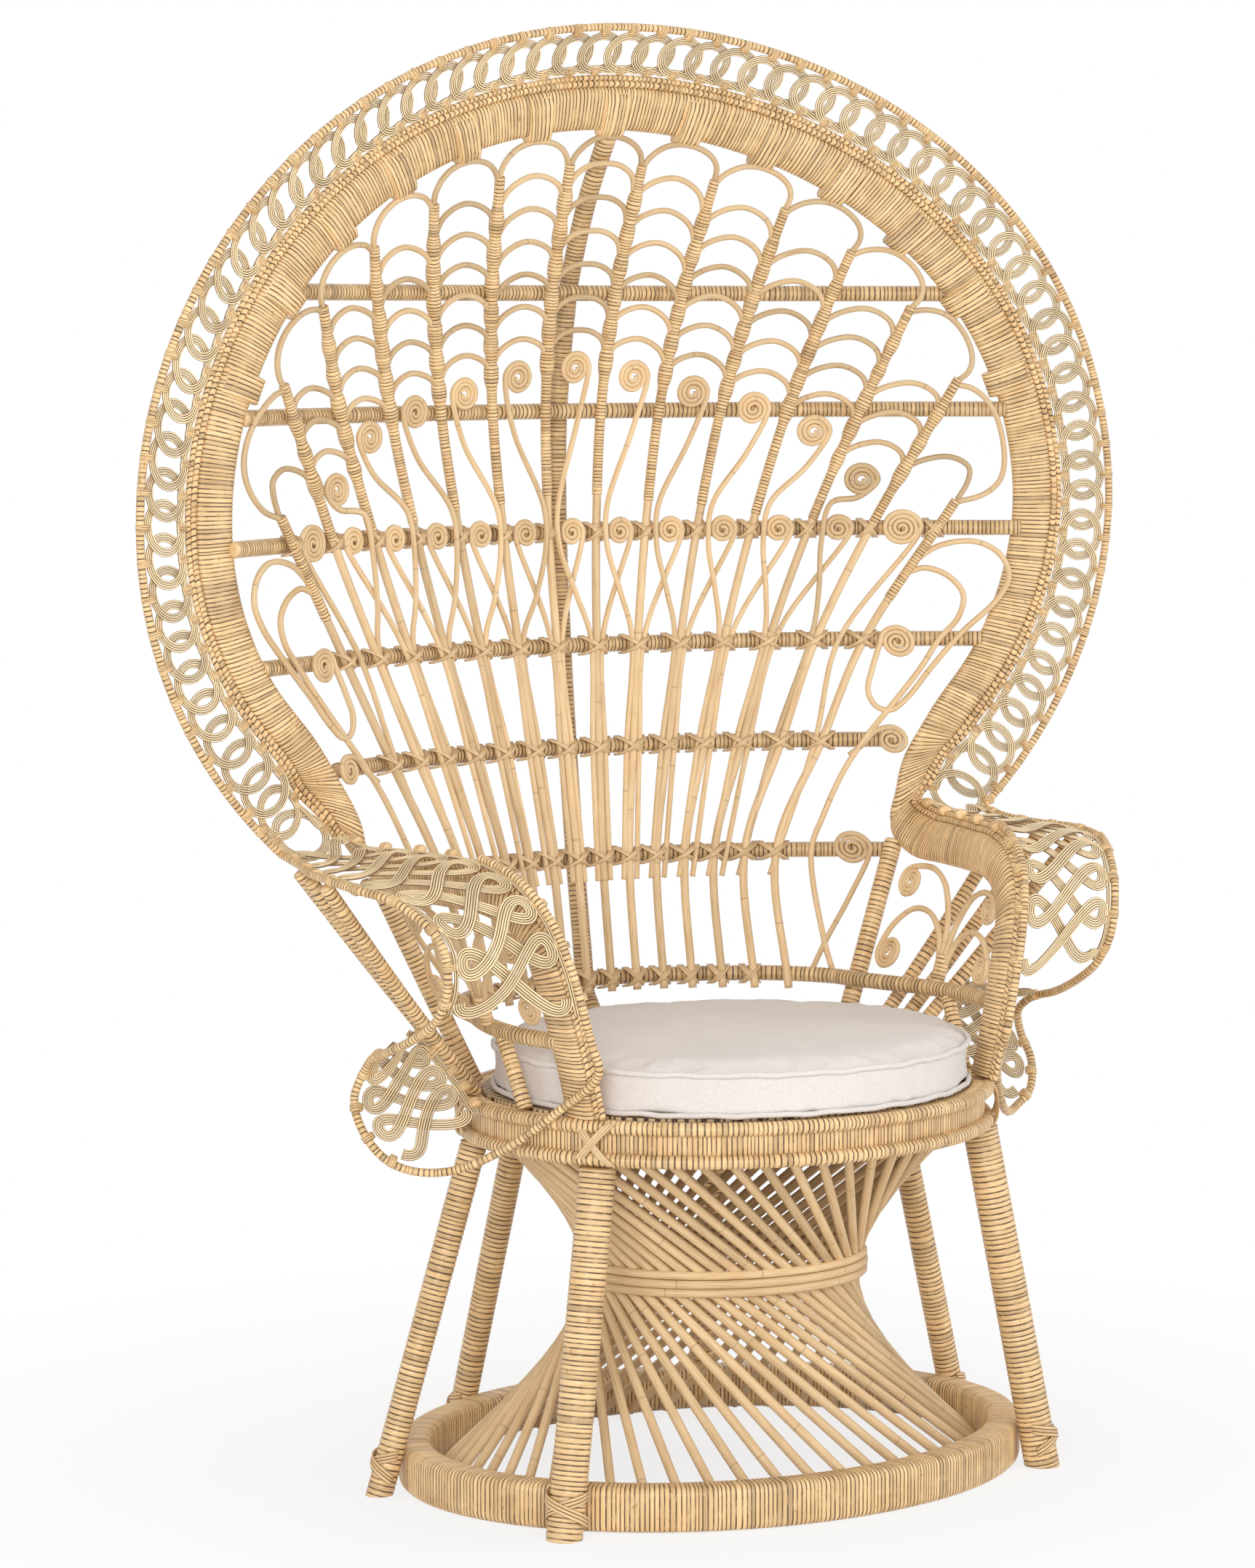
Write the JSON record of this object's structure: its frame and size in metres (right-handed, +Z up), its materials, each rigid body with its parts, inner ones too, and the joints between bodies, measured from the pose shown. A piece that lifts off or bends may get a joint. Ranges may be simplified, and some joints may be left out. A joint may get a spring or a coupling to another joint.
{
  "type": "peacock chair",
  "caption": "Woven rattan armchair with a tall round fan back, scrolled ribs, lace border, curled wings, hourglass base and loose seat cushion.",
  "frame": {"origin": "on the floor, under the middle of the overall box; the axis of the oval base ring stands 22.3 mm in front of it, at y -0.0223", "axes": "+Z up; the chair faces -Y, so the fan back is towards +Y; +X is the right-hand side seen from the front"},
  "size_m": [1.197, 0.5986, 1.498],
  "materials": {
    "wrapped_rattan": "rattan canes closely wrapped with split cane, satin",
    "rattan_cane": "bare peeled rattan cane, satin",
    "pale_lace_cane": "thin pale rattan core in interlaced strands, satin",
    "cotton_cover": "off-white cotton canvas, matte"
  },
  "bodies": {
    "frame": {"base_ring": "wrapped_rattan", "hourglass_weave": "rattan_cane", "seat_ring": "wrapped_rattan", "seat_deck": "rattan_cane", "fan_band": "wrapped_rattan", "band_trim": "wrapped_rattan", "fan_rim": "pale_lace_cane", "fan_lace": "pale_lace_cane", "seat_back_rail": "wrapped_rattan", "back_spine": "wrapped_rattan", "back_rail_1": "wrapped_rattan", "back_rail_2": "wrapped_rattan", "back_rail_3": "wrapped_rattan", "back_rail_4": "wrapped_rattan", "back_rail_5": "wrapped_rattan", "back_rail_6": "wrapped_rattan", "leg_front_left": "wrapped_rattan", "leg_side_left": "wrapped_rattan", "leg_back_left": "wrapped_rattan", "arm_band_left": "wrapped_rattan", "neck_post_left": "wrapped_rattan", "wing_strut_left_1": "wrapped_rattan", "wing_strut_left_2": "wrapped_rattan", "wing_strut_left_3": "wrapped_rattan", "arm_brace_left": "wrapped_rattan", "arm_scroll_left": "rattan_cane", "wing_rim_left": "pale_lace_cane", "wing_lace_left": "pale_lace_cane", "wing_lobe_left": "pale_lace_cane", "side_loop_left": "rattan_cane", "rib_left_1": "rattan_cane", "rib_left_2": "rattan_cane", "rib_left_3": "rattan_cane", "rib_left_4": "rattan_cane", "rib_left_5": "rattan_cane", "rib_left_6": "rattan_cane", "rib_left_7": "rattan_cane", "leg_front_right": "wrapped_rattan", "leg_side_right": "wrapped_rattan", "leg_back_right": "wrapped_rattan", "arm_band_right": "wrapped_rattan", "neck_post_right": "wrapped_rattan", "wing_strut_right_1": "wrapped_rattan", "wing_strut_right_2": "wrapped_rattan", "wing_strut_right_3": "wrapped_rattan", "arm_brace_right": "wrapped_rattan", "arm_scroll_right": "rattan_cane", "wing_rim_right": "pale_lace_cane", "wing_lace_right": "pale_lace_cane", "wing_lobe_right": "pale_lace_cane", "side_loop_right": "rattan_cane", "rib_right_1": "rattan_cane", "rib_right_2": "rattan_cane", "rib_right_3": "rattan_cane", "rib_right_4": "rattan_cane", "rib_right_5": "rattan_cane", "rib_right_6": "rattan_cane", "rib_right_7": "rattan_cane"},
    "cushion": {"cushion": "cotton_cover"}
  },
  "joints": [
    {"name": "cushion_lift", "type": "slide", "parent": "frame", "child": "cushion", "axis": [0, 0, 1], "range_m": [0, 0.15]}
  ]
}
